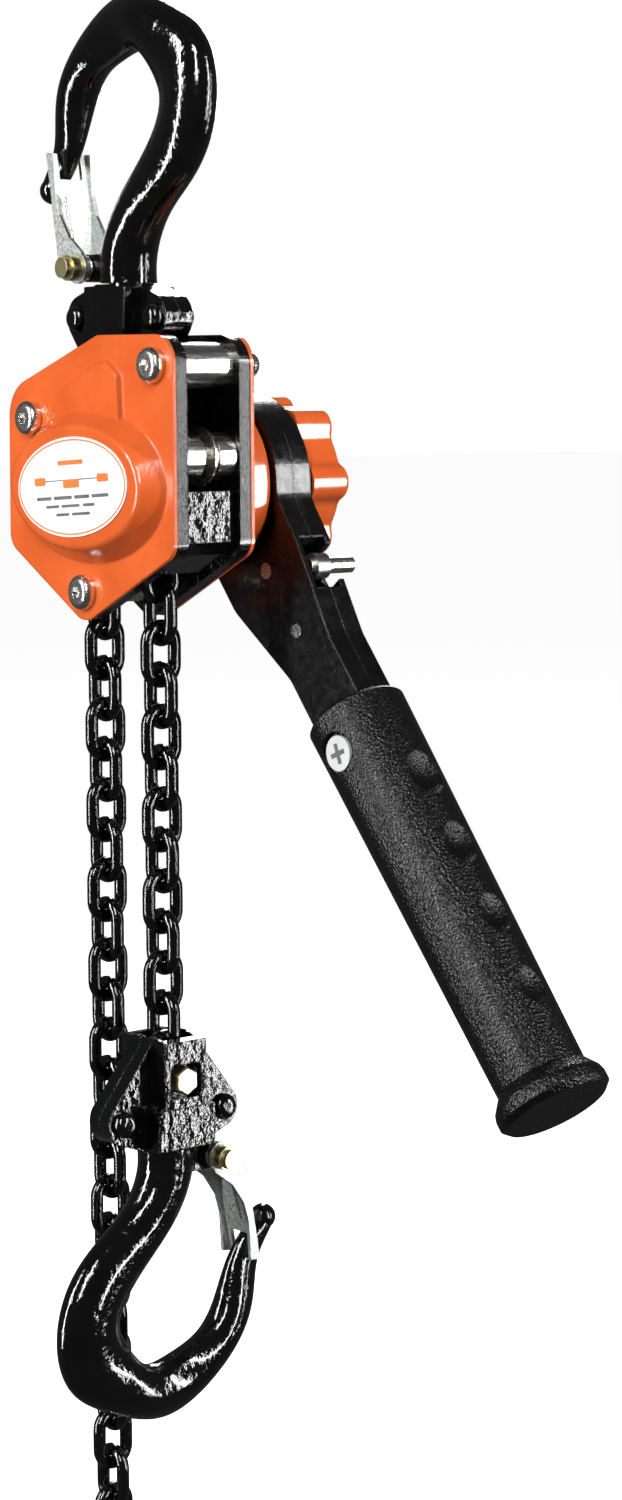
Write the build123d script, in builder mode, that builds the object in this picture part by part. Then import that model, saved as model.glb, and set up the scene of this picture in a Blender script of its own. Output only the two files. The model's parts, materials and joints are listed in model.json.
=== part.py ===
from build123d import *
from math import acos, cos, radians, sin, tan
import os

# Mini lever chain hoist. Millimetres, +Z up. The origin is the centre of the top hook's bowl.
# Y is the drive axis: the gear cover faces -Y, the lever and the handwheel are on +Y.

os.makedirs("parts", exist_ok=True)

# chain
WIRE_R = 2.4
PITCH = 15.0
LINK_TURN_R = 6.2
LINK_END = 10.0
LINK_GAP = 0.2
WRAPPED_TURN = radians(45)

# hooks and yokes, measured from the centre of the bowl along the shank
SHOULDER = 60.0
RIVET_UP = 72.0
PIN_UP = 86.0
YOKE_TOP = 102.0
RIVET_OUT = 22.7
EAR_HALF = 6.0
FORGING_DRAFT = 5.0
SHANK_R = 10.2
NECK_R = 7.0
HOOK_HEAD_R = 8.9
TIP_R = 4.9
LATCH_PIVOT = (19.5, 54.0)
LATCH_PIN_R = 3.0
LATCH_HALF = 9.0
LATCH_SHEET = 1.5
LUG_HALF = 4.4
GAP = 0.3
RUNNING = 0.06

# frame
PIN_TO_DRIVE = 46.0
DRIVE_Z = -(PIN_UP + PIN_TO_DRIVE)
PLATE_IN = 11.5
PLATE_T = 5.0
PLATE_OUT = PLATE_IN + PLATE_T
COVER_T = 1.5
COVER_OUT = PLATE_OUT + COVER_T
BOLTS = ((38.0, 43.0), (-36.0, 24.0), (-4.0, -38.0))
SPACER_R = (8.0, 6.5, 4.4)
BOLT_R = 3.0
BOLT_WASHER_R = 6.4
TOP_PIN_R = 4.0
ROLLER_AT = (39.5, 11.0)
ROLLER_PIN_R = 2.5
BUSH_R = 10.0
LABEL_TILT = 4.0
HUB_R = 7.0

# gears
MODULE = 1.2
PRESSURE = 25.0
SHAFT_TEETH = 10
DISC_TEETH = 22
DISC_PINION_TEETH = 8
LOAD_TEETH = 24
CENTRES = MODULE * (SHAFT_TEETH + DISC_TEETH) / 2
DISC_PIN_R = 2.5
INNER_GEAR = (-20.1, -17.1)
OUTER_GEAR = (-23.3, -20.9)

# brake, lever and handwheel
DRUM_R = 32.0
DRUM_END = 40.5
SHAFT_R = 4.0
GEAR_HUB_R = 12.0
LEVER_FRONT = 41.5
LEVER_BACK = 57.5
LEVER_MID = (LEVER_FRONT + LEVER_BACK) / 2
LEVER_ANGLE = 39.5
HEAD_R = 32.5
CHANGE_TEETH = 10
PAWL_RING_R = 25.6
PAWL_AT = 41.0
LEVER_TANG = 150.0
LEVER_FILLET = 14.0
SELECTOR_R = 3.0
SELECTOR_AT = (51.5, 16.5)
PAWL_PIN_R = 3.0
GRIP_START = 105.0
GRIP_END = 269.0
WHEEL_FRONT = 59.5
WHEEL_BACK = 77.0
WHEEL_R = 32.5

# Where the chain bends over the sheave, the wire of a flat link rides up inside the crown of a standing
# one: that sets how far from the drive axis flat links, standing links and both falls are.
CROWN_SLACK = LINK_TURN_R - 2 * WIRE_R - LINK_GAP
HALF_TURN = WRAPPED_TURN / 2
LINK_RUN = LINK_END - LINK_TURN_R + CROWN_SLACK * cos(HALF_TURN) + LINK_END * cos(WRAPPED_TURN)
FALL_X = LINK_RUN / sin(WRAPPED_TURN)
STANDING_X = LINK_RUN + CROWN_SLACK * sin(HALF_TURN) + LINK_END * sin(WRAPPED_TURN)

LOAD_PIN_Z = DRIVE_Z - 14 * PITCH - LINK_END + WIRE_R + BOLT_R + 0.1
BOTTOM_BOWL_Z = LOAD_PIN_Z - PIN_UP
LEVER_DIR = (sin(radians(LEVER_ANGLE)), 0, -cos(radians(LEVER_ANGLE)))


def save(piece, name):
    piece.part.label = name
    export_step(piece.part, f"parts/{name}.step")


def drive_plane(y):
    """Upright plane across the drive axis; a sketch on it is extruded towards the gear cover."""
    return Plane(origin=(0, y, DRIVE_Z), x_dir=(1, 0, 0), z_dir=(0, -1, 0))


def lever_plane(y):
    """The same plane turned so that its x runs along the lever and its y towards the thumb side."""
    return Plane(origin=(0, y, DRIVE_Z), x_dir=LEVER_DIR, z_dir=(0, -1, 0))


def rings(name, *steps):
    """A turned piece on the drive axis from steps of (y from, y to, inner radius, outer radius)."""
    with BuildPart() as piece:
        for low, high, inner, outer in steps:
            with BuildSketch(drive_plane(high)):
                Circle(outer)
                if inner:
                    Circle(inner, mode=Mode.SUBTRACT)
            extrude(amount=high - low)
    save(piece, name)


# ---------------------------------------------------------------- chain


def link(at, lengthways, across):
    """One closed link with its middle at a point, its length along one direction and its width along another."""
    side = Plane(origin=at, x_dir=lengthways, z_dir=Vector(*lengthways).cross(Vector(*across)))
    straight = LINK_END - LINK_TURN_R
    with BuildPart() as piece:
        with BuildLine(side) as path:
            Line((-straight, LINK_TURN_R), (straight, LINK_TURN_R))
            RadiusArc((straight, LINK_TURN_R), (straight, -LINK_TURN_R), LINK_TURN_R)
            Line((straight, -LINK_TURN_R), (-straight, -LINK_TURN_R))
            RadiusArc((-straight, -LINK_TURN_R), (-straight, LINK_TURN_R), LINK_TURN_R)
        start = Plane(origin=side.from_local_coords((0, LINK_TURN_R, 0)), z_dir=lengthways)
        with BuildSketch(start):
            Circle(WIRE_R)
        sweep(path=path.line)
    return piece.part


def fall(name, x, first, last):
    """The links of a straight run, numbered downwards from the drive axis; even ones lie across X."""
    with BuildPart() as run:
        for number in range(first, last + 1):
            across = (0, 1, 0) if number % 2 == 0 else (1, 0, 0)
            add(link((x, 0, DRIVE_Z - number * PITCH), (0, 0, 1), across))
    save(run, name)


def wrapped_chain():
    """The links over the sheave and the first ones of both falls, down to inside the guides."""
    with BuildPart() as run:
        for number in range(5):
            angle = number * WRAPPED_TURN
            out = FALL_X if number % 2 == 0 else STANDING_X
            at = (out * cos(angle), 0, DRIVE_Z + out * sin(angle))
            tangent = (-sin(angle), 0, cos(angle))
            radial = (cos(angle), 0, sin(angle))
            add(link(at, tangent, (0, 1, 0) if number % 2 == 0 else radial))
        for x in (-FALL_X, FALL_X):
            add(link((x, 0, DRIVE_Z - PITCH), (0, 0, 1), (1, 0, 0)))
            add(link((x, 0, DRIVE_Z - 2 * PITCH), (0, 0, 1), (0, 1, 0)))
    save(run, "wrapped_chain")


def chain():
    wrapped_chain()
    fall("load_link_upper", FALL_X, 3, 3)
    fall("load_chain", FALL_X, 4, 13)
    fall("load_end_link", FALL_X, 14, 14)
    fall("tail_link_upper", -FALL_X, 3, 3)
    fall("tail_chain_upper", -FALL_X, 4, 14)
    fall("tail_chain_lower", -FALL_X, 15, 26)
    ring_r = 12.0
    last_end = DRIVE_Z - 26 * PITCH - LINK_END
    with BuildPart() as ring:
        with Locations(Plane(origin=(-FALL_X, 0, last_end + 2 * WIRE_R + 0.2 - ring_r), z_dir=(0, 1, 0))):
            Torus(ring_r, WIRE_R)
    save(ring, "chain_end_ring")


# ---------------------------------------------------------------- hooks, latches and yokes

# middle line of the forging: across the throat, along the shank, half depth, half thickness
HOOK_SECTIONS = (
    (0.0, SHOULDER - GAP, 10.2, 10.2),
    (0.0, 51.0, 10.2, 10.2),
    (-4.0, 40.5, 9.8, 9.8),
    (-12.5, 29.5, 9.9, 8.9),
    (-25.0, 17.5, 11.4, 8.3),
    (-35.2, -1.5, 12.6, 8.2),
    (-25.6, -23.0, 12.5, 8.2),
    (-3.0, -31.7, 10.6, 8.0),
    (20.6, -20.8, 8.4, 7.4),
    (32.2, -3.0, 7.6, 6.6),
    (36.6, 11.0, 6.4, 4.4),
    (42.2, 19.5, 4.9, 4.2),
    (46.8, 26.0, 4.2, 4.2),
)


def hook_plane(bowl, throat, shank, depth=0.0):
    """Plane of a hook: its origin is the bowl's centre, x points out of the throat, y along the shank."""
    normal = Vector(*throat).cross(Vector(*shank))
    return Plane(origin=Vector(*bowl) + normal * depth, x_dir=throat, z_dir=normal)


def hook(name, bowl, throat, shank):
    plane = hook_plane(bowl, throat, shank)
    centres = [plane.from_local_coords((u, v, 0)) for u, v, _, _ in HOOK_SECTIONS]
    down = Vector(*shank) * -1
    with BuildPart() as piece:
        with BuildLine(mode=Mode.PRIVATE):
            spine = Spline(*centres, tangents=(down, plane.from_local_coords((1, 1.35, 0)) - plane.origin))
        for centre, (_, _, half_depth, half_thick) in zip(centres, HOOK_SECTIONS):
            near = spine % spine.param_at_point(centre)
            with BuildSketch(Plane(origin=centre, x_dir=plane.z_dir, z_dir=near)):
                Ellipse(half_thick, half_depth)
        loft()
        with Locations(Location(centres[-1] - near * 1.2)):
            Sphere(TIP_R)
        with BuildSketch(Plane(origin=plane.from_local_coords((0, SHOULDER - GAP, 0)), z_dir=shank)):
            Circle(NECK_R)
        extrude(amount=6)
        with BuildSketch(Plane(origin=plane.from_local_coords((0, 65.4, 0)), z_dir=shank)):
            Circle(HOOK_HEAD_R)
        extrude(amount=8)
        with BuildSketch(hook_plane(bowl, throat, shank, -LUG_HALF)):
            with BuildLine():
                Polyline((0, 49), (18, 49.2), (18, 58.8), (0, 58.8), close=True)
            make_face()
            with Locations(LATCH_PIVOT):
                Circle(5)
        extrude(amount=2 * LUG_HALF)
        with BuildSketch(hook_plane(bowl, throat, shank, -LATCH_HALF - 1)):
            with Locations(LATCH_PIVOT):
                Circle(LATCH_PIN_R)
        extrude(amount=2 * LATCH_HALF + 2, mode=Mode.SUBTRACT)
    save(piece, name)


def rivet(name, bowl, throat, shank):
    """Pin of the safety latch: a stepped head on one side and an upset end on the other."""
    steps = (
        (LATCH_HALF + 0.2, 4.6, 4.2),
        (LATCH_HALF + 4.4, 3.7, 2.6),
        (-LATCH_HALF - 2.0, 4.4, 1.8),
        (-LATCH_HALF - 0.3, LATCH_PIN_R, 2 * LATCH_HALF + 0.6),
    )
    with BuildPart() as piece:
        for depth, radius, length in steps:
            with BuildSketch(hook_plane(bowl, throat, shank, depth)):
                with Locations(LATCH_PIVOT):
                    Circle(radius)
            extrude(amount=length)
    save(piece, name)


def latch(name, bowl, throat, shank):
    """Pressed channel: the web closes the throat, its notch lets the tip through, the sides run inwards."""
    web_out = ((31.0, 50.0), (37.6, 12.0))
    with BuildPart() as piece:
        for depth in (-LATCH_HALF, LATCH_HALF - LATCH_SHEET):
            with BuildSketch(hook_plane(bowl, throat, shank, depth)):
                with BuildLine():
                    Polyline(
                        web_out[0], web_out[1], (33.2, 12.4), (32.2, 27), (30, 34.6), (24.6, 42.5), (16.5, 48.5),
                        (21, 59.2), (26.5, 57.5), close=True,
                    )
                make_face()
                with Locations(LATCH_PIVOT):
                    Circle(5.6)
                    Circle(LATCH_PIN_R + RUNNING, mode=Mode.SUBTRACT)
            extrude(amount=LATCH_SHEET)
        with BuildSketch(hook_plane(bowl, throat, shank, -LATCH_HALF)):
            with BuildLine():
                Polyline(web_out[0], web_out[1], (36.1, 12.2), (29.5, 49.8), close=True)
            make_face()
        extrude(amount=2 * LATCH_HALF)
        with BuildSketch(hook_plane(bowl, throat, shank, -5)):
            with BuildLine():
                Polyline((30, 21.5), (40, 21.5), (42, 8), (30, 8), close=True)
            make_face()
        extrude(amount=10, mode=Mode.SUBTRACT)
    save(piece, name)


def latch_spring(name, bowl, throat, shank):
    """Torsion spring beside the lug, with one leg along the latch's web."""
    plane = hook_plane(bowl, throat, shank)
    coil = hook_plane(bowl, throat, shank, LUG_HALF + 0.75)
    wire = 0.5
    with BuildPart() as piece:
        for turn in range(2):
            step = coil.offset(turn * (2 * wire + 0.02))
            with Locations(Location(step.shift_origin(step.from_local_coords((*LATCH_PIVOT, 0))))):
                Torus(4.2, wire)
        leg_from = plane.from_local_coords((LATCH_PIVOT[0] + 4.2, LATCH_PIVOT[1], LUG_HALF + 0.75))
        leg_to = plane.from_local_coords((31.6, 28.0, LUG_HALF + 0.75))
        with BuildSketch(Plane(origin=leg_from, z_dir=leg_to - leg_from)):
            Circle(wire)
        extrude(amount=(leg_to - leg_from).length)
    save(piece, name)


def yoke_half(name, bowl, ears, shank, half_depth, half_width, pin_r, holds_chain):
    """Forged half of a yoke: ears, the housing of the hook's head and the box that holds the pin."""
    inner = hook_plane(bowl, ears, shank)
    with BuildPart() as piece:
        with BuildSketch(inner):
            for side in (-1, 1):
                with Locations((side * 21.3, RIVET_UP)):
                    Circle(8.2)
                with Locations((side * 6.5, YOKE_TOP - 4)):
                    Circle(4)
                with Locations((side * (half_width - 1.5), SHOULDER + 1.5)):
                    Circle(1.5)
            make_hull()
        extrude(amount=EAR_HALF)
        boxes = (
            ((SHOULDER + YOKE_TOP + 14) / 2, 21.0, YOKE_TOP - SHOULDER - 14, half_depth - 0.8),
            (SHOULDER + 8.7, 2 * half_width, 17.4, half_depth),
        )
        for middle, width, height, depth in boxes:
            with BuildSketch(inner):
                with Locations((0, middle)):
                    RectangleRounded(width, height, 1.5)
            extrude(amount=depth, taper=FORGING_DRAFT)
        with BuildSketch(Plane(origin=inner.from_local_coords((0, SHOULDER - 1, 0)), z_dir=shank)):
            Circle(NECK_R + 0.1)
        extrude(amount=8, mode=Mode.SUBTRACT)
        with BuildSketch(Plane(origin=inner.from_local_coords((0, SHOULDER + 5, 0)), z_dir=shank)):
            Circle(HOOK_HEAD_R + 0.3)
        extrude(amount=9, mode=Mode.SUBTRACT)
        with BuildSketch(inner):
            with Locations((0, YOKE_TOP - 11)):
                Rectangle(18.6, 27)
        extrude(amount=2.9, mode=Mode.SUBTRACT)
        if holds_chain:
            with BuildSketch(inner):
                with Locations((0, YOKE_TOP)):
                    Rectangle(15, 19.5)
            extrude(amount=9.4, mode=Mode.SUBTRACT)
            with BuildSketch(inner.offset(half_depth - 5)):
                with Locations((0, PIN_UP)):
                    RectangleRounded(14, 12.6, 2)
            extrude(amount=8, mode=Mode.SUBTRACT)
        with BuildSketch(inner):
            with Locations((0, PIN_UP)):
                Circle(pin_r)
            with Locations((-RIVET_OUT, RIVET_UP), (RIVET_OUT, RIVET_UP)):
                Circle(2.6)
        extrude(amount=half_depth + 1, mode=Mode.SUBTRACT)
    save(piece, name)


def yoke_rivets(name, bowl, ears, shank):
    """Two dome-headed rivets through the ears."""
    with BuildPart() as piece:
        for side in (-1, 1):
            with BuildSketch(hook_plane(bowl, ears, shank, -EAR_HALF)):
                with Locations((side * RIVET_OUT, RIVET_UP)):
                    Circle(2.6)
            extrude(amount=2 * EAR_HALF)
        for turn in (-1, 1):
            face = hook_plane(bowl, ears, shank, turn * EAR_HALF)
            for side in (-1, 1):
                with BuildSketch(face):
                    with Locations((side * RIVET_OUT, RIVET_UP)):
                        Circle(4.9)
                extrude(amount=turn * 3.6)
        ends = piece.faces().filter_by(GeomType.PLANE).sort_by(Axis((0, 0, 0), face.z_dir))
        domes = ends[:2] + ends[-2:]
        fillet(domes.edges(), 3.2)
    save(piece, name)


def chain_pin():
    """Bolt through the bottom yoke and the last link, with its round head in the far recess."""
    with BuildPart() as pin:
        with BuildSketch(Plane(origin=(FALL_X - 13.6, 0, LOAD_PIN_Z), z_dir=(1, 0, 0))):
            Circle(5.0)
        extrude(amount=4.4)
        with BuildSketch(Plane(origin=(FALL_X - 9.3, 0, LOAD_PIN_Z), z_dir=(1, 0, 0))):
            Circle(BOLT_R)
        extrude(amount=23.3)
    save(pin, "chain_pin")
    with BuildPart() as nut:
        with BuildSketch(Plane(origin=(FALL_X + 9.1, 0, LOAD_PIN_Z), z_dir=(1, 0, 0))):
            RegularPolygon(5.4, 6)
            Circle(BOLT_R, mode=Mode.SUBTRACT)
        extrude(amount=5.0)
        chamfer(nut.faces().sort_by(Axis.X)[-1].outer_wire().edges(), 0.6)
    save(nut, "chain_pin_nut")


def hook_sets():
    top = ((0, 0, 0), (-1, 0, 0), (0, 0, -1))
    bottom = ((FALL_X, 0, BOTTOM_BOWL_Z), (0, 1, 0), (0, 0, 1))
    for end, place in (("top", top), ("bottom", bottom)):
        hook(f"{end}_hook", *place)
        latch(f"{end}_latch", *place)
        rivet(f"{end}_latch_rivet", *place)
        latch_spring(f"{end}_latch_spring", *place)
        yoke_rivets(f"{end}_yoke_rivets", *place)
    for half, ears in (("front", (-1, 0, 0)), ("rear", (1, 0, 0))):
        yoke_half(f"top_yoke_{half}", top[0], ears, top[2], 11.2, 13.0, TOP_PIN_R + RUNNING, False)
    for half, ears in (("right", (0, 1, 0)), ("left", (0, -1, 0))):
        yoke_half(f"bottom_yoke_{half}", bottom[0], ears, bottom[2], 14.0, 14.0, BOLT_R, True)



# ---------------------------------------------------------------- frame


def outline(y, grow=0.0):
    """Outline of the side plates on the plane at y: tangents around the bolts and the other bends."""
    corners = ((38, 43, 10.5), (-36, 24, 14), (-4, -38, 10), (41.5, -18, 7.3), (-43, -18, 7.3), (6, 47.5, 6))
    with BuildSketch(drive_plane(y)) as profile:
        for x, z, radius in corners:
            with Locations((x, z)):
                Circle(radius + grow)
        make_hull()
    return profile.sketch


def circles(y, *places):
    """Circles on the plane at y, each given as x, z and radius."""
    with BuildSketch(drive_plane(y)) as profile:
        for x, z, radius in places:
            with Locations((x, z)):
                Circle(radius)
    return profile.sketch


def oval(y, long_half, short_half):
    with BuildSketch(drive_plane(y)) as profile:
        Ellipse(long_half, short_half)
    return profile.sketch


def bolt_holes():
    return [(x, z, BOLT_R + 0.2) for x, z in BOLTS]


def side_plates():
    common = bolt_holes() + [(*ROLLER_AT, ROLLER_PIN_R), (0, PIN_TO_DRIVE, TOP_PIN_R), (0, 0, BUSH_R)]
    discs = [(side * CENTRES, 0, DISC_PIN_R + RUNNING) for side in (-1, 1)]
    for name, y, places in (("front", -PLATE_IN, common + discs), ("rear", PLATE_OUT, common)):
        with BuildPart() as plate:
            extrude(outline(y), amount=PLATE_T)
            extrude(circles(y, *places), amount=PLATE_T, mode=Mode.SUBTRACT)
        save(plate, f"{name}_side_plate")
    with BuildPart() as bushes:
        for y in (-PLATE_IN, PLATE_OUT):
            with BuildSketch(drive_plane(y)):
                Circle(BUSH_R)
                Circle(HUB_R + RUNNING, mode=Mode.SUBTRACT)
            extrude(amount=PLATE_T)
    save(bushes, "sheave_bushes")


def gear_cover():
    """Pressed cover: a flat flange with an oval boss over the gears and a shallow raised field above it."""
    boss = 8.0
    with BuildPart() as cover:
        extrude(outline(-PLATE_OUT, 0.2), amount=COVER_T)
        with BuildSketch(drive_plane(-COVER_OUT)):
            with BuildLine():
                Polyline((-24, 10), (21, 10), (19, 40), (12, 45), (4, 44), (-20, 33), close=True)
            make_face()
            fillet(vertices(), 3)
        extrude(amount=1.8, taper=30)
        loft([oval(-COVER_OUT + 0.2, 45.2, 27.7), oval(-COVER_OUT - boss, 38.4, 21.8)])
        fillet(cover.faces().sort_by(Axis.Y)[0].outer_wire().edges(), 2.5)
        loft([oval(-PLATE_OUT, 43.6, 26.1), oval(-PLATE_OUT - boss, 36.8, 20.2)], mode=Mode.SUBTRACT)
        bosses = [(side * CENTRES, 0, DISC_PIN_R + 2) for side in (-1, 1)]
        bores = [(side * CENTRES, 0, DISC_PIN_R + RUNNING) for side in (-1, 1)]
        extrude(circles(-PLATE_OUT - boss + 0.9, *bosses), amount=1.0)
        extrude(circles(-PLATE_OUT - boss + 0.9, *bores), amount=1.0, mode=Mode.SUBTRACT)
        extrude(circles(-PLATE_OUT, *bolt_holes()), amount=COVER_T + 3, mode=Mode.SUBTRACT)
        washers = [(x, z, BOLT_WASHER_R + 0.3) for x, z in BOLTS]
        extrude(circles(-COVER_OUT, *washers), amount=boss, mode=Mode.SUBTRACT)
    save(cover, "gear_cover")
    with BuildPart() as label:
        with BuildSketch(drive_plane(-COVER_OUT - boss - 0.02)):
            Ellipse(33.0, 17.8, rotation=LABEL_TILT)
        extrude(amount=0.4)
    save(label, "rating_label")


def brake_cover():
    """Pressed cover behind the rear plate: a flange with a round drum for the brake."""
    with BuildPart() as cover:
        extrude(outline(COVER_OUT, 0.2), amount=COVER_T)
        with BuildSketch(drive_plane(DRUM_END)):
            Circle(DRUM_R)
        extrude(amount=DRUM_END - COVER_OUT)
        fillet(cover.faces().sort_by(Axis.Y)[-1].outer_wire().edges(), 3.0)
        with BuildSketch(drive_plane(DRUM_END - COVER_T)):
            Circle(DRUM_R - COVER_T)
        extrude(amount=DRUM_END - COVER_T - PLATE_OUT, mode=Mode.SUBTRACT)
        extrude(circles(DRUM_END, (0, 0, GEAR_HUB_R + 0.5)), amount=4, mode=Mode.SUBTRACT)
        extrude(circles(COVER_OUT, *bolt_holes()), amount=COVER_T, mode=Mode.SUBTRACT)
    save(cover, "brake_cover")


def stay_hardware():
    with BuildPart() as bolts:
        for x, z in BOLTS:
            with BuildSketch(drive_plane(-COVER_OUT)):
                with Locations((x, z)):
                    Circle(BOLT_WASHER_R)
            extrude(amount=4.2)
        heads = bolts.faces().filter_by(GeomType.PLANE).group_by(Axis.Y)[0]
        fillet(heads.edges(), 2.6)
        for x, z in BOLTS:
            with BuildSketch(drive_plane(COVER_OUT + 5)):
                with Locations((x, z)):
                    Circle(BOLT_R)
            extrude(amount=2 * COVER_OUT + 5)
            with BuildSketch(drive_plane(-COVER_OUT - 1.6)):
                with Locations((x, z)):
                    RegularPolygon(2.3, 6)
            extrude(amount=4, mode=Mode.SUBTRACT)
    save(bolts, "stay_bolts")
    with BuildPart() as nuts:
        for x, z in BOLTS:
            with BuildSketch(drive_plane(COVER_OUT + 5.2)):
                with Locations((x, z)):
                    RegularPolygon(5.8, 6)
            extrude(amount=5.2)
            with BuildSketch(drive_plane(COVER_OUT + 9.4)):
                with Locations((x, z)):
                    Circle(4.9)
            extrude(amount=5)
        fillet(nuts.faces().filter_by(GeomType.PLANE).group_by(Axis.Y)[-1].edges(), 4.0)
        shanks = [(x, z, BOLT_R) for x, z in BOLTS]
        extrude(circles(COVER_OUT + 5, *shanks), amount=5, mode=Mode.SUBTRACT)
    save(nuts, "dome_nuts")
    with BuildPart() as spacers:
        for (x, z), radius in zip(BOLTS, SPACER_R):
            with BuildSketch(drive_plane(PLATE_IN)):
                with Locations((x, z)):
                    Circle(radius)
                    Circle(BOLT_R + 0.2, mode=Mode.SUBTRACT)
            extrude(amount=2 * PLATE_IN)
    save(spacers, "stay_spacers")
    with BuildPart() as pins:
        with BuildSketch(drive_plane(PLATE_OUT)):
            with Locations(ROLLER_AT):
                Circle(ROLLER_PIN_R)
        extrude(amount=2 * PLATE_OUT)
    save(pins, "guide_roller_pin")
    with BuildPart() as pin:
        with BuildSketch(drive_plane(PLATE_OUT)):
            with Locations((0, PIN_TO_DRIVE)):
                Circle(TOP_PIN_R)
        extrude(amount=2 * PLATE_OUT)
    save(pin, "top_pin")
    spool = ((11.2, 8.3, 7.4), (3.9, 4.6, 3.2), (0.7, 10.6, 1.0), (-0.3, 4.6, 2.7), (-3.0, 8.3, 8.2))
    with BuildPart() as roller:
        for rear, radius, length in spool:
            extrude(circles(rear, (*ROLLER_AT, radius)), amount=length)
        extrude(circles(PLATE_IN, (*ROLLER_AT, ROLLER_PIN_R + RUNNING)), amount=2 * PLATE_IN, mode=Mode.SUBTRACT)
    save(roller, "guide_roller")
    for side, word in ((-1, "left"), (1, "right")):
        with BuildPart() as guide:
            with BuildSketch(drive_plane(PLATE_IN - 0.1)):
                with BuildLine():
                    Polyline(
                        (side * 46, -1), (side * 46, -19), (side * 42, -23.5), (side * 28.5, -30.6),
                        (side * 28.5, -10), (side * 31, -10), (side * 31, -25.5), (side * 41, -20),
                        (side * 43, -18), (side * 43, -1), close=True,
                    )
                make_face()
            extrude(amount=2 * PLATE_IN - 0.2)
        save(guide, f"chain_guide_{word}")



# ---------------------------------------------------------------- gears and sheave


def toothed(y, teeth, start=0.0):
    """Stub involute teeth around the drive axis; start turns the first tooth, in degrees."""
    pitch_r = MODULE * teeth / 2
    base_r = pitch_r * cos(radians(PRESSURE))
    tip_r = pitch_r + 0.7 * MODULE
    root_r = pitch_r - 0.95 * MODULE
    tooth_half = radians(90 / teeth) - 0.16 / pitch_r
    involute = tan(radians(PRESSURE)) - radians(PRESSURE)
    flank = []
    for step in range(5):
        radius = max(base_r, root_r) + (tip_r - max(base_r, root_r)) * step / 4
        slope = acos(min(1.0, base_r / radius))
        flank.append((radius, tooth_half + involute - (tan(slope) - slope)))
    if root_r < base_r:
        flank.insert(0, (root_r, flank[0][1]))
    points = []
    for tooth in range(teeth):
        middle = radians(start) + tooth * radians(360 / teeth)
        side = [(radius, middle - half) for radius, half in flank]
        side += [(radius, middle + half) for radius, half in reversed(flank)]
        points += [(radius * cos(angle), radius * sin(angle)) for radius, angle in side]
    with BuildSketch(drive_plane(y)) as profile:
        with BuildLine():
            Polyline(*points, close=True)
        make_face()
    return profile.sketch


def gear_train():
    with BuildPart() as sheave:
        for low, high, radius in (
            (-20.1, -PLATE_IN + 0.3, HUB_R),
            (-11.2, -9.0, 21.5),
            (-9.0, -2.9, FALL_X - WIRE_R - 0.4),
            (-2.9, 2.9, 10.4),
            (2.9, 9.0, FALL_X - WIRE_R - 0.4),
            (9.0, 11.2, 21.5),
            (PLATE_IN - 0.3, 17.0, HUB_R),
        ):
            extrude(circles(high, (0, 0, radius)), amount=high - low)
        extrude(circles(17.0, (0, 0, SHAFT_R + RUNNING)), amount=40, mode=Mode.SUBTRACT)
    save(sheave, "load_sheave")
    with BuildPart() as load_gear:
        extrude(toothed(INNER_GEAR[1], LOAD_TEETH), amount=INNER_GEAR[1] - INNER_GEAR[0])
        extrude(circles(INNER_GEAR[1], (0, 0, HUB_R)), amount=4, mode=Mode.SUBTRACT)
    save(load_gear, "load_gear")
    with BuildPart() as shaft:
        extrude(circles(66.0, (0, 0, SHAFT_R)), amount=66.0 - OUTER_GEAR[0])
        extrude(toothed(OUTER_GEAR[1], SHAFT_TEETH), amount=OUTER_GEAR[1] - OUTER_GEAR[0])
    save(shaft, "pinion_shaft")
    for side, word in ((-1, "left"), (1, "right")):
        half_disc = 180 / DISC_TEETH
        half_pinion = 180 / DISC_PINION_TEETH
        across = Pos(side * CENTRES, 0, 0)
        with BuildPart() as disc:
            add(across * extrude(toothed(OUTER_GEAR[1], DISC_TEETH, half_disc), amount=2.4, mode=Mode.PRIVATE))
            add(across * extrude(toothed(INNER_GEAR[1], DISC_PINION_TEETH, half_pinion), amount=3.8, mode=Mode.PRIVATE))
            extrude(circles(-12, (side * CENTRES, 0, DISC_PIN_R)), amount=12.3)
        save(disc, f"disc_gear_{word}")


# ---------------------------------------------------------------- brake


def saw_teeth(y, teeth, tip_r, root_r):
    points = []
    for tooth in range(teeth):
        for radius, part in ((tip_r, 0.0), (root_r, 0.08)):
            angle = radians(360 / teeth) * (tooth + part)
            points.append((radius * cos(angle), radius * sin(angle)))
    with BuildSketch(drive_plane(y)) as profile:
        with BuildLine():
            Polyline(*points, close=True)
        make_face()
    return profile.sketch


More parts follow.
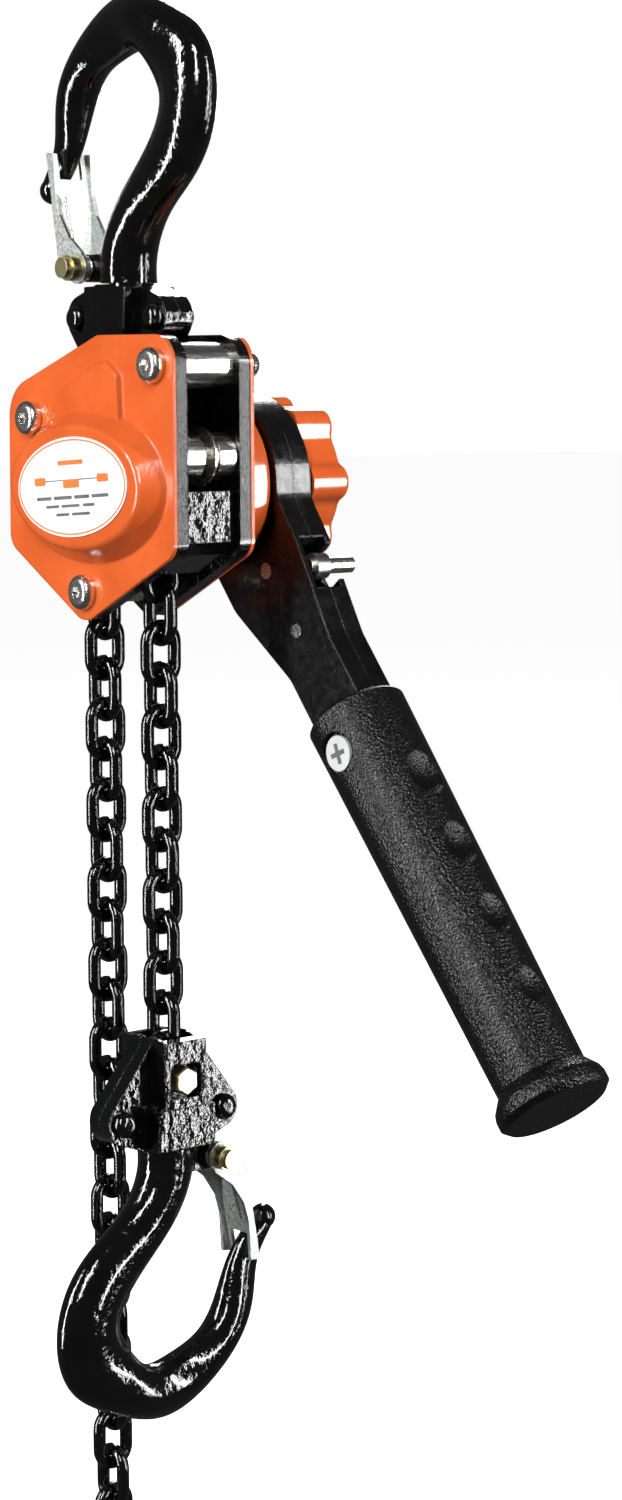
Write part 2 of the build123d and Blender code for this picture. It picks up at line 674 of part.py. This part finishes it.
def brake():
    rings("disc_hub", (17.4, 22.0, SHAFT_R, 18.0), (22.0, 31.0, SHAFT_R, 9.0))
    rings("friction_discs", (22.0, 24.0, 9.1, 18.5), (29.0, 31.0, 9.1, 18.5))
    with BuildPart() as ratchet:
        extrude(saw_teeth(29.0, 18, 20.5, 18.9), amount=5)
        extrude(circles(29.0, (0, 0, 9.1)), amount=5, mode=Mode.SUBTRACT)
    save(ratchet, "ratchet_disc")
    with BuildPart() as change:
        extrude(circles(34.0, (0, 0, 18.0)), amount=3.0)
        extrude(circles(60.0, (0, 0, GEAR_HUB_R)), amount=26.0)
        with BuildSketch(drive_plane(54.5)):
            Circle(GEAR_HUB_R)
            with PolarLocations(14.5, CHANGE_TEETH):
                RectangleRounded(7.0, 4.6, 1.2)
        extrude(amount=10)
        extrude(circles(60.0, (0, 0, SHAFT_R)), amount=30, mode=Mode.SUBTRACT)
    save(change, "change_gear")
    for number, turn in enumerate((60, 240), start=1):
        spin = Location((0, 0, DRIVE_Z)) * Rotation(0, turn, 0) * Location((0, 0, -DRIVE_Z))
        with BuildPart() as pawl:
            with BuildSketch(drive_plane(28.6)):
                with Locations((PAWL_RING_R, 0)):
                    Circle(3.6)
                with BuildLine():
                    Polyline((PAWL_RING_R + 3.4, 0), (PAWL_RING_R + 0.4, -13), (21.3, -13), (21.0, -10.5), (23, 0), close=True)
                make_face()
                with Locations((PAWL_RING_R, 0)):
                    Circle(2.06, mode=Mode.SUBTRACT)
            extrude(amount=4.2)
        pawl.part = spin * pawl.part
        save(pawl, f"brake_pawl_{number}")
    with BuildPart() as pins:
        with BuildSketch(drive_plane(30.0)):
            with PolarLocations(PAWL_RING_R, 2, start_angle=-60):
                Circle(2.0)
        extrude(amount=30.0 - PLATE_OUT)
    save(pins, "brake_pawl_pins")


# ---------------------------------------------------------------- lever, pawl, grip and handwheel


def lever_outline(y):
    """Round head that runs into the arm through wide fillets."""
    arm = 14.0
    with BuildSketch() as profile:
        with BuildLine():
            Polyline(
                (0, 24), (42, 21), (80, arm), (LEVER_TANG, arm),
                (LEVER_TANG, -arm), (80, -arm), (42, -24), (0, -24), close=True,
            )
        make_face()
        Circle(HEAD_R)
        joins = [corner for corner in profile.vertices() if 10 < corner.X < 100]
        fillet(joins, LEVER_FILLET)
    return lever_plane(y) * profile.sketch


def lever_shells():
    wall = 2.2
    for name, low, high in (("front", LEVER_FRONT, LEVER_MID), ("rear", LEVER_MID, LEVER_BACK)):
        cavity = (LEVER_FRONT + wall, LEVER_MID) if name == "front" else (LEVER_MID, LEVER_BACK - wall)
        with BuildPart() as shell:
            extrude(lever_outline(high), amount=high - low)
            with BuildSketch(lever_plane(cavity[1])):
                Circle(20.5)
                with BuildLine():
                    Polyline((0, 17), (38, 17), (60, 12), (60, -11), (38, -16.5), (0, -17), close=True)
                make_face()
                with Locations(SELECTOR_AT):
                    Rectangle(20, 26)
            extrude(amount=cavity[1] - cavity[0], mode=Mode.SUBTRACT)
            extrude(circles(LEVER_BACK, (0, 0, GEAR_HUB_R + RUNNING)), amount=20, mode=Mode.SUBTRACT)
            with BuildSketch(lever_plane(high)):
                with Locations((PAWL_AT, 0)):
                    Circle(PAWL_PIN_R)
                with Locations((68, 0)):
                    Circle(2.6)
                if name == "rear":
                    with Locations(SELECTOR_AT):
                        Rectangle(14.2, 14)
            extrude(amount=high - low, mode=Mode.SUBTRACT)
        save(shell, f"lever_shell_{name}")
    with BuildPart() as screws:
        with BuildSketch(lever_plane(LEVER_BACK)):
            with Locations((PAWL_AT, 0)):
                Circle(PAWL_PIN_R)
            with Locations((68, 0)):
                Circle(2.6)
        extrude(amount=LEVER_BACK - LEVER_FRONT)
        with BuildSketch(lever_plane(LEVER_BACK + 2.4)):
            with Locations((68, 0)):
                Circle(4.6)
        extrude(amount=2.4)
    save(screws, "lever_fasteners")


def pawl():
    """Two-nosed pawl in the lever and the pin that the thumb moves to choose up, neutral or down."""
    with BuildPart() as body:
        with BuildSketch(lever_plane(52.5)):
            with Locations((PAWL_AT, 0)):
                Circle(6.5)
            with BuildLine():
                Polyline(
                    (PAWL_AT - 5, 6), (23.6, 11.4), (20.6, 8.6), (32, 0), (20.6, -8.6), (23.6, -11.4),
                    (PAWL_AT - 5, -6), (PAWL_AT + 5, -4), (54, 14), (48, 17), (PAWL_AT + 1, 6), close=True,
                )
            make_face()
            with Locations(SELECTOR_AT):
                Circle(SELECTOR_R + 1.8)
            with Locations((PAWL_AT, 0)):
                Circle(PAWL_PIN_R + RUNNING, mode=Mode.SUBTRACT)
            with Locations(SELECTOR_AT):
                Circle(SELECTOR_R, mode=Mode.SUBTRACT)
        extrude(amount=6)
    save(body, "selector_pawl")
    with BuildPart() as pin:
        with BuildSketch(lever_plane(LEVER_BACK + 8.5)):
            with Locations(SELECTOR_AT):
                Circle(SELECTOR_R)
        extrude(amount=8.5 + LEVER_BACK - 45)
        chamfer(pin.faces().sort_by(Axis.Y)[-1].edges(), 0.6)
    save(pin, "selector_pin")


def grip():
    """Moulded grip: a round bar that narrows, an end flange, finger dimples and a hollow for the tang."""
    along = Plane(origin=(0, LEVER_MID, DRIVE_Z), x_dir=LEVER_DIR, z_dir=(0, -1, 0))
    with BuildPart() as body:
        with BuildSketch(along):
            with BuildLine():
                Polyline((GRIP_START, 0), (GRIP_START, 17.2), (GRIP_START + 1.4, 18.5), (GRIP_END - 12, 16.4),
                         (GRIP_END - 7, 20.0), (GRIP_END - 5, 20.6), (GRIP_END - 2, 20.6), (GRIP_END, 18.6),
                         (GRIP_END, 0), close=True)
            make_face()
        revolve(axis=Axis(along.origin, along.x_dir))
        with BuildSketch(lever_plane(LEVER_MID + 8.2)):
            with Locations(((GRIP_START + LEVER_TANG) / 2, 0)):
                Rectangle(LEVER_TANG - GRIP_START + 0.6, 28.4)
        extrude(amount=16.4, mode=Mode.SUBTRACT)
        for number in range(4):
            spot = along.from_local_coords((GRIP_START + 38 + number * 28.8, 30.5, 0))
            with Locations(spot):
                Sphere(15.4, mode=Mode.SUBTRACT)
        for side in (-1, 1):
            with BuildSketch(lever_plane(LEVER_MID + side * 15.6)):
                with Locations((GRIP_START + 16, 0)):
                    Circle(7.8)
            extrude(amount=-side * 6, mode=Mode.SUBTRACT)
            with BuildSketch(lever_plane(LEVER_MID + side * 16)):
                with Locations((GRIP_START + 16, 0)):
                    Circle(2.6)
            extrude(amount=side * 9, mode=Mode.SUBTRACT)
    save(body, "grip")
    with BuildPart() as screws:
        for side in (-1, 1):
            with BuildSketch(lever_plane(LEVER_MID + side * 15.6)):
                with Locations((GRIP_START + 16, 0)):
                    Circle(BOLT_WASHER_R)
            extrude(amount=-side * 1.4)
            with BuildSketch(lever_plane(LEVER_MID + side * 15.6)):
                with Locations((GRIP_START + 16, 0)):
                    Circle(2.6)
            extrude(amount=side * 7.0)
    save(screws, "grip_screws")


def handwheel():
    with BuildPart() as wheel:
        with BuildSketch(drive_plane(WHEEL_BACK)):
            Circle(27.5)
            with PolarLocations(25.5, 7):
                Circle(7.0)
            fillet(vertices(), 5)
        extrude(amount=WHEEL_BACK - WHEEL_FRONT)
        fillet(wheel.faces().sort_by(Axis.Y)[-1].outer_wire().edges(), 2.0)
        extrude(circles(WHEEL_BACK, (0, 0, 17.0)), amount=9, mode=Mode.SUBTRACT)
        extrude(circles(WHEEL_BACK, (0, 0, SHAFT_R)), amount=20, mode=Mode.SUBTRACT)
        extrude(circles(60.0, (0, 0, GEAR_HUB_R)), amount=1.0, mode=Mode.SUBTRACT)
    save(wheel, "handwheel")
    with BuildPart() as nut:
        extrude(circles(68.8, (0, 0, 11.0)), amount=0.8)
        with BuildSketch(drive_plane(73.5)):
            RegularPolygon(8.0, 6)
        extrude(amount=4.7)
    save(nut, "shaft_nut")


chain()
hook_sets()
chain_pin()
side_plates()
gear_train()
brake()
lever_shells()
pawl()
grip()
handwheel()
gear_cover()
brake_cover()
stay_hardware()
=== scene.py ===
import bmesh
import bpy
import json
import math
from mathutils import Matrix, Vector


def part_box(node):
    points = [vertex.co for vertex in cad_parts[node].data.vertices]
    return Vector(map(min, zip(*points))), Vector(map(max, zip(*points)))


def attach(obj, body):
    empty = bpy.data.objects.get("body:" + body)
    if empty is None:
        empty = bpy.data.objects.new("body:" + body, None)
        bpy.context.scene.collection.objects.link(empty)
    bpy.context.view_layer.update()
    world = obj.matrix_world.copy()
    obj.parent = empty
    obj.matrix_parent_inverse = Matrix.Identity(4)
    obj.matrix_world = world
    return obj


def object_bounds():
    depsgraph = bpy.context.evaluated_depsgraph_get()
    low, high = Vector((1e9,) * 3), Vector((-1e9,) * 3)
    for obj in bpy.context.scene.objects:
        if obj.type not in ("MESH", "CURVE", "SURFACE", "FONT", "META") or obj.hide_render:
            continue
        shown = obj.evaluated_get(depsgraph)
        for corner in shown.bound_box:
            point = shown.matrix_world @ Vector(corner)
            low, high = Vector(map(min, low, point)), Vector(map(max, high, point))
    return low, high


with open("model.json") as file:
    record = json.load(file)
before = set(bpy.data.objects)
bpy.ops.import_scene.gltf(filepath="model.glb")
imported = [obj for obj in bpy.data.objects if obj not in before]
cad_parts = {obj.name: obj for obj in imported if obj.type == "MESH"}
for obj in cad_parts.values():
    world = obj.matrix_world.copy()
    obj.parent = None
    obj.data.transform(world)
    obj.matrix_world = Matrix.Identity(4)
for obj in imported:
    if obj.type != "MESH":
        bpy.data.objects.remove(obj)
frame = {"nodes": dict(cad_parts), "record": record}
cad_low, cad_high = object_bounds()
nodes = frame["nodes"]

# Dimensions repeated from the part, in metres and radians.
DRIVE_Z = -0.132
LEVER_ANGLE = math.radians(39.5)
LABEL_TILT = math.radians(4)
GRIP_SCREW_ALONG = 0.121

# The added marks are thin plates. On the label their backs lie MARK_OFFSET inside its face.
# On the grip screws the dark crosses of painted shade float MARK_OFFSET clear of the heads.
MARK_T = 0.00025
BLOCK_T = 0.0003
MARK_OFFSET = 0.0001
BORDER_OUTER = (0.0322, 0.0170)
BORDER_INNER = (0.0317, 0.0165)
CROSS_WIDTH = 0.0015
CROSS_LENGTH = 0.0072
CROSS_TURN = 0.4

FLOOR_DROP = 0.10
FLOOR_GLOW = 0.9
FILL_STRENGTH = 0.06
LIGHT_AIM = Vector((0.02, 0.02, -0.28))

CAMERA_AZIMUTH = math.radians(50.0)
CAMERA_ELEVATION = math.radians(6.8)
CAMERA_ROLL = math.radians(-0.15)
CAMERA_DISTANCE = 1.161
CAMERA_ASIDE = 0.0649
CAMERA_AIM_Z = -0.2286


# ------------------------------------------------------------------ materials


def start(name, rough, metallic=0.0, coat=0.0, specular=0.5):
    """A new material with its constant values set on the shader's own sockets."""
    made = bpy.data.materials.new(name)
    made.use_nodes = True
    shader = made.node_tree.nodes["Principled BSDF"]
    shader.inputs["Roughness"].default_value = rough
    shader.inputs["Metallic"].default_value = metallic
    shader.inputs["Coat Weight"].default_value = coat
    shader.inputs["Coat Roughness"].default_value = 0.06
    shader.inputs["Specular IOR Level"].default_value = specular
    return made, made.node_tree, shader


def noise(tree, scale, detail=4.0, stretch=(1, 1, 1)):
    where = tree.nodes.new("ShaderNodeTexCoord")
    mapping = tree.nodes.new("ShaderNodeMapping")
    mapping.inputs["Scale"].default_value = stretch
    texture = tree.nodes.new("ShaderNodeTexNoise")
    texture.inputs["Scale"].default_value = scale
    texture.inputs["Detail"].default_value = detail
    tree.links.new(where.outputs["Object"], mapping.inputs["Vector"])
    tree.links.new(mapping.outputs["Vector"], texture.inputs["Vector"])
    return texture.outputs["Fac"]


def cells(tree, scale):
    where = tree.nodes.new("ShaderNodeTexCoord")
    texture = tree.nodes.new("ShaderNodeTexVoronoi")
    texture.inputs["Scale"].default_value = scale
    tree.links.new(where.outputs["Object"], texture.inputs["Vector"])
    return texture.outputs["Distance"]


def colours(tree, shader, value, *stops):
    ramp = tree.nodes.new("ShaderNodeValToRGB")
    ramp.color_ramp.elements[0].position = stops[0][0]
    ramp.color_ramp.elements[0].color = (*stops[0][1], 1)
    ramp.color_ramp.elements[1].position = stops[-1][0]
    ramp.color_ramp.elements[1].color = (*stops[-1][1], 1)
    for place, colour in stops[1:-1]:
        ramp.color_ramp.elements.new(place).color = (*colour, 1)
    tree.links.new(value, ramp.inputs["Fac"])
    tree.links.new(ramp.outputs["Color"], shader.inputs["Base Color"])


def roughness(tree, shader, value, low, high):
    spread = tree.nodes.new("ShaderNodeMapRange")
    spread.inputs["From Min"].default_value = 0.3
    spread.inputs["From Max"].default_value = 0.7
    spread.inputs["To Min"].default_value = low
    spread.inputs["To Max"].default_value = high
    tree.links.new(value, spread.inputs["Value"])
    tree.links.new(spread.outputs["Result"], shader.inputs["Roughness"])


def relief(tree, shader, value, depth, edge=0.0):
    """Bump of the given depth in metres, over edges rounded to the given radius."""
    bump = tree.nodes.new("ShaderNodeBump")
    bump.inputs["Strength"].default_value = 1.0
    bump.inputs["Distance"].default_value = depth
    tree.links.new(value, bump.inputs["Height"])
    if edge:
        rounded = tree.nodes.new("ShaderNodeBevel")
        rounded.samples = 4
        rounded.inputs["Radius"].default_value = edge
        tree.links.new(rounded.outputs["Normal"], bump.inputs["Normal"])
    tree.links.new(bump.outputs["Normal"], shader.inputs["Normal"])


def enamel(name, dark, light, rough, peel, edge, coat=0.6):
    """Sprayed or dipped paint: slight mottling, uneven gloss and orange-peel relief."""
    made, tree, shader = start(name, rough, coat=coat)
    colours(tree, shader, noise(tree, 45), (0.35, dark), (0.65, light))
    roughness(tree, shader, noise(tree, 240), rough * 0.75, rough * 1.35)
    relief(tree, shader, noise(tree, peel[0], 3), peel[1], edge=edge)
    return made


def metal(name, dark, light, rough, stretch, depth=0.00002, edge=0.0003):
    """Bare or plated metal with fine turning or drawing lines."""
    made, tree, shader = start(name, rough, metallic=1.0)
    colours(tree, shader, noise(tree, 160), (0.35, dark), (0.65, light))
    lines = noise(tree, 1800, 5, stretch)
    roughness(tree, shader, lines, rough * 0.7, rough * 1.4)
    relief(tree, shader, lines, depth, edge=edge)
    return made


def galvanised():
    """Zinc-coated sheet with a faint spangle."""
    made, tree, shader = start("zinc_spangle", 0.4, metallic=1.0)
    colours(tree, shader, cells(tree, 900), (0.1, (0.42, 0.44, 0.43)), (0.8, (0.66, 0.68, 0.66)))
    roughness(tree, shader, noise(tree, 900), 0.34, 0.55)
    relief(tree, shader, noise(tree, 1500), 0.00006, edge=0.0003)
    return made


def plated_yellow():
    """Zinc with a yellow passivate that shifts from gold to green."""
    made, tree, shader = start("yellow_passivate", 0.28, metallic=1.0)
    stops = ((0.3, (0.80, 0.62, 0.26)), (0.5, (0.85, 0.74, 0.42)), (0.7, (0.70, 0.66, 0.46)))
    colours(tree, shader, noise(tree, 260, 2), *stops)
    relief(tree, shader, noise(tree, 1400), 0.00003, edge=0.0003)
    return made


def grained():
    """Moulded black plastic with a fine leather grain."""
    made, tree, shader = start("grained_plastic", 0.30, specular=0.35)
    colours(tree, shader, noise(tree, 300), (0.3, (0.001, 0.001, 0.001)), (0.7, (0.003, 0.003, 0.003)))
    roughness(tree, shader, noise(tree, 900), 0.22, 0.38)
    relief(tree, shader, cells(tree, 1000), 0.00028, edge=0.0008)
    return made


def brake_lining():
    made, tree, shader = start("pressed_lining", 0.9)
    colours(tree, shader, cells(tree, 1500), (0.1, (0.10, 0.07, 0.05)), (0.8, (0.32, 0.26, 0.20)))
    relief(tree, shader, noise(tree, 1500), 0.0001)
    return made


def foil(name, dark, light):
    made, tree, shader = start(name, 0.35, coat=0.3)
    colours(tree, shader, noise(tree, 120), (0.3, dark), (0.7, light))
    relief(tree, shader, noise(tree, 700), 0.00001)
    return made


gloss_black = enamel(
    "gloss_black", dark=(0.0008, 0.0008, 0.0008), light=(0.002, 0.002, 0.002),
    rough=0.08, peel=(260, 0.0004), edge=0.0008,
)
rough_black = enamel(
    "rough_black", dark=(0.0008, 0.0008, 0.0008), light=(0.002, 0.002, 0.002),
    rough=0.12, peel=(620, 0.00045), edge=0.0010,
)
satin_black = enamel(
    "satin_black", dark=(0.001, 0.001, 0.001), light=(0.003, 0.003, 0.003),
    rough=0.24, peel=(420, 0.00012), edge=0.0012, coat=0.2,
)
gloss_orange = enamel(
    "gloss_orange", dark=(0.62, 0.100, 0.018), light=(0.70, 0.125, 0.026),
    rough=0.20, peel=(260, 0.00012), edge=0.0012,
)
pale_zinc = enamel(
    "pale_zinc", dark=(0.62, 0.63, 0.62), light=(0.78, 0.79, 0.78),
    rough=0.30, peel=(700, 0.00003), edge=0.0006,
)
steel = metal("nickel_steel", (0.66, 0.65, 0.62), (0.84, 0.83, 0.80), 0.22, (1, 0.05, 1))
machined = metal("machined_steel", (0.36, 0.36, 0.36), (0.52, 0.51, 0.50), 0.34, (1, 0.05, 1))
# Near-black steel for the load sheave: painted shade for the dark gap between the side plates.
sheave_painted_shade = metal("painted_shade_steel", (0.030, 0.030, 0.030), (0.060, 0.060, 0.058), 0.45, (1, 0.3, 1))
white_foil = foil("white_foil", (0.80, 0.80, 0.79), (0.90, 0.90, 0.89))
orange_ink = foil("orange_ink", (0.80, 0.17, 0.03), (0.86, 0.22, 0.05))
# Grey ink for the label's print; the same material is also painted shade on the grip screws' crosses.
grey_ink_and_painted_shade = foil("grey_ink_and_painted_shade", (0.10, 0.10, 0.11), (0.17, 0.17, 0.18))

BY_SLOT = {
    "black_enamel": gloss_black,
    "orange_enamel": gloss_orange,
    "bright_steel": steel,
    "zinc_sheet": galvanised(),
    "yellow_zinc": plated_yellow(),
    "machined_steel": machined,
    "lever_black": satin_black,
    "grip_plastic": grained(),
    "lining": brake_lining(),
    "label_foil": white_foil,
}
BY_NODE = {
    "front_side_plate": rough_black,
    "rear_side_plate": rough_black,
    # Painted shade: the load sheave between the side plates is made near-black.
    "load_sheave": sheave_painted_shade,
    "grip_screws": pale_zinc,
}

for part in frame["record"]["subparts"]:
    cad = nodes[part["node"]]
    cad.data.materials.clear()
    cad.data.materials.append(BY_NODE.get(part["node"], BY_SLOT[part["material_slot"]]))


# ------------------------------------------------------------------ new pieces


def piece(name, mesh, finish, body):
    made = bpy.data.objects.new(name, mesh)
    bpy.context.scene.collection.objects.link(made)
    mesh.materials.append(finish)
    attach(made, body)


def placed(bm, name, turn):
    """The finished mesh, moved by turn from its own plane into the frame."""
    mesh = bpy.data.meshes.new(name)
    bmesh.ops.recalc_face_normals(bm, faces=bm.faces)
    bm.to_mesh(mesh)
    bm.free()
    mesh.transform(turn)
    return mesh


def prism(outlines, depth, turn):
    """Closed prisms from outlines in a plane."""
    bm = bmesh.new()
    for outline in outlines:
        low = [bm.verts.new((x, y, 0)) for x, y in outline]
        high = [bm.verts.new((x, y, depth)) for x, y in outline]
        bm.faces.new(low[::-1])
        bm.faces.new(high)
        count = len(low)
        for i in range(count):
            j = (i + 1) % count
            bm.faces.new((low[i], low[j], high[j], high[i]))
    return placed(bm, "prism", turn)


def ellipse_ring(outer, inner, depth, turn, steps=96):
    """Flat ring between two ellipses, each given by its half axes."""
    bm = bmesh.new()
    loops = []
    for (a, b), height in ((outer, 0), (outer, depth), (inner, depth), (inner, 0)):
        angles = [2 * math.pi * i / steps for i in range(steps)]
        loops.append([bm.verts.new((a * math.cos(t), b * math.sin(t), height)) for t in angles])
    for k in range(4):
        one = loops[k]
        two = loops[(k + 1) % 4]
        for i in range(steps):
            j = (i + 1) % steps
            bm.faces.new((one[i], one[j], two[j], two[i]))
    return placed(bm, "ring", turn)


def bar(x, y, width, height, corner=0.4):
    """Outline of a bar with cut corners, in metres, from its middle, size and corner in millimetres."""
    w, h, c = width / 2000, height / 2000, corner / 1000
    x, y = x / 1000, y / 1000
    return [
        (x - w + c, y - h), (x + w - c, y - h), (x + w, y - h + c), (x + w, y + h - c),
        (x + w - c, y + h), (x - w + c, y + h), (x - w, y + h - c), (x - w, y - h + c),
    ]


def add_label_marks():
    """A plain border and generic marks on the oval label: bars for print and blocks on a line."""
    face_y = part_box("rating_label")[0][1]
    onto = Matrix.Translation((0, face_y + MARK_OFFSET, DRIVE_Z)) @ Matrix.Rotation(math.radians(90), 4, "X")
    turn = onto @ Matrix.Rotation(LABEL_TILT, 4, "Z")
    border = ellipse_ring(BORDER_OUTER, BORDER_INNER, MARK_T, turn)
    piece("label_border", border, orange_ink, "frame")
    rows = [bar(0, 2.6, 44, 0.35, 0.1)]
    rows += [bar(x, -3.6, width, 1.2) for x, width in ((-17, 9), (-5.5, 11), (6, 9), (17, 10))]
    rows += [bar(x, -6.6, width, 1.0) for x, width in ((-12, 8), (-1, 11), (10, 7))]
    rows += [bar(x, -9.6, width, 1.0) for x, width in ((-6, 8), (5, 11))]
    piece("label_marks", prism(rows, MARK_T, turn), grey_ink_and_painted_shade, "frame")
    blocks = [bar(-19, 2.6, 6.5, 2.8), bar(0, 1.2, 9.5, 2.8)]
    blocks += [bar(19, 2.6, 6.5, 2.8), bar(0, 8.8, 15, 1.6)]
    piece("label_blocks", prism(blocks, BLOCK_T, turn), orange_ink, "frame")


def cross(width, length):
    """Outline of an upright cross about the origin."""
    w, s = width / 2, length / 2
    return [
        (-w, -s), (w, -s), (w, -w), (s, -w), (s, w), (w, w),
        (w, s), (-w, s), (-w, w), (-s, w), (-s, -w), (-w, -w),
    ]


def add_grip_screw_painted_shade():
    """A dark cross of painted shade in front of each grip screw's head, standing in for the shaded cross
    recess.
    """
    low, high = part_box("grip_screws")
    along = Vector((math.sin(LEVER_ANGLE), 0, -math.cos(LEVER_ANGLE)))
    head = Vector((0, 0, DRIVE_Z)) + along * GRIP_SCREW_ALONG
    for side, y, facing in (("front", low[1], 1), ("rear", high[1], -1)):
        turn = Matrix.Translation((head.x, y - MARK_OFFSET * facing, head.z))
        turn = turn @ Matrix.Rotation(math.radians(90) * facing, 4, "X") @ Matrix.Rotation(CROSS_TURN, 4, "Z")
        mark = prism([cross(CROSS_WIDTH, CROSS_LENGTH)], MARK_T, turn)
        # Painted shade: a flat dark cross where the screw's cross recess would lie in shade.
        piece(f"grip_screw_painted_recess_shade_{side}", mark, grey_ink_and_painted_shade, "lever")


add_label_marks()
add_grip_screw_painted_shade()


# ------------------------------------------------------------------ floor, light and camera


def lay_floor():
    """Pale, glowing floor below the object, hidden from glossy and diffuse rays so that it lights nothing."""
    white, tree, shader = start("studio_white", 0.9, specular=0.0)
    shader.inputs["Emission Color"].default_value = (1.0, 1.0, 1.0, 1)
    shader.inputs["Emission Strength"].default_value = FLOOR_GLOW
    colours(tree, shader, noise(tree, 3), (0.3, (0.93, 0.93, 0.93)), (0.7, (0.96, 0.96, 0.96)))
    bpy.ops.mesh.primitive_plane_add(size=30, location=(0, 0, cad_low.z - FLOOR_DROP))
    made = bpy.context.object
    made.name = "floor"
    made.data.materials.append(white)
    made.visible_glossy = False
    made.visible_diffuse = False


def light_world():
    """White to the camera, but dim in what it lights, so that black paint stays black."""
    world = bpy.data.worlds.new("studio")
    world.use_nodes = True
    sky = world.node_tree
    seen = sky.nodes["Background"]
    fill = sky.nodes.new("ShaderNodeBackground")
    for background, strength in ((seen, 1.0), (fill, FILL_STRENGTH)):
        background.inputs["Color"].default_value = (1.0, 1.0, 1.0, 1)
        background.inputs["Strength"].default_value = strength
    path = sky.nodes.new("ShaderNodeLightPath")
    either = sky.nodes.new("ShaderNodeMixShader")
    sky.links.new(path.outputs["Is Camera Ray"], either.inputs["Fac"])
    sky.links.new(fill.outputs["Background"], either.inputs[1])
    sky.links.new(seen.outputs["Background"], either.inputs[2])
    sky.links.new(either.outputs["Shader"], sky.nodes["World Output"].inputs["Surface"])
    bpy.context.scene.world = world
    bpy.context.scene.view_settings.view_transform = "Standard"


def softbox(name, place, width, height, power):
    """Area light that faces a point near the middle of the object."""
    data = bpy.data.lights.new(name, "AREA")
    data.shape = "RECTANGLE"
    data.size = width
    data.size_y = height
    data.energy = power
    lamp = bpy.data.objects.new(name, data)
    bpy.context.scene.collection.objects.link(lamp)
    lamp.location = place
    lamp.rotation_euler = (LIGHT_AIM - Vector(place)).to_track_quat("-Z", "Y").to_euler()


def set_camera():
    """Camera on a sphere about its aim, with a little roll."""
    level = math.cos(CAMERA_ELEVATION)
    back = Vector((
        math.sin(CAMERA_AZIMUTH) * level,
        -math.cos(CAMERA_AZIMUTH) * level,
        math.sin(CAMERA_ELEVATION),
    ))
    right = Vector((math.cos(CAMERA_AZIMUTH), math.sin(CAMERA_AZIMUTH), 0))
    up = back.cross(right)
    aim = right * CAMERA_ASIDE + Vector((0, 0, CAMERA_AIM_Z))
    rolled_right = right * math.cos(CAMERA_ROLL) + up * math.sin(CAMERA_ROLL)
    rolled_up = up * math.cos(CAMERA_ROLL) - right * math.sin(CAMERA_ROLL)
    turn = Matrix((rolled_right, rolled_up, back)).transposed().to_4x4()
    data = bpy.data.cameras.new("camera")
    data.lens = 76.3
    data.sensor_width = 36.0
    data.clip_start = 0.05
    camera = bpy.data.objects.new("camera", data)
    bpy.context.scene.collection.objects.link(camera)
    camera.matrix_world = Matrix.Translation(aim + back * CAMERA_DISTANCE) @ turn
    bpy.context.scene.camera = camera


lay_floor()
light_world()
softbox("left_strip", (-0.55, -1.5, 0.0), 0.10, 1.8, 34)
softbox("right_strip", (1.75, 0.55, 0.1), 0.10, 1.8, 26)
softbox("side_strip", (1.25, 1.10, -0.25), 0.14, 1.3, 16)
softbox("front_strip", (1.0, -1.5, 0.9), 0.12, 1.2, 30)
softbox("rim", (-1.0, 1.0, 0.6), 0.3, 1.2, 14)
set_camera()
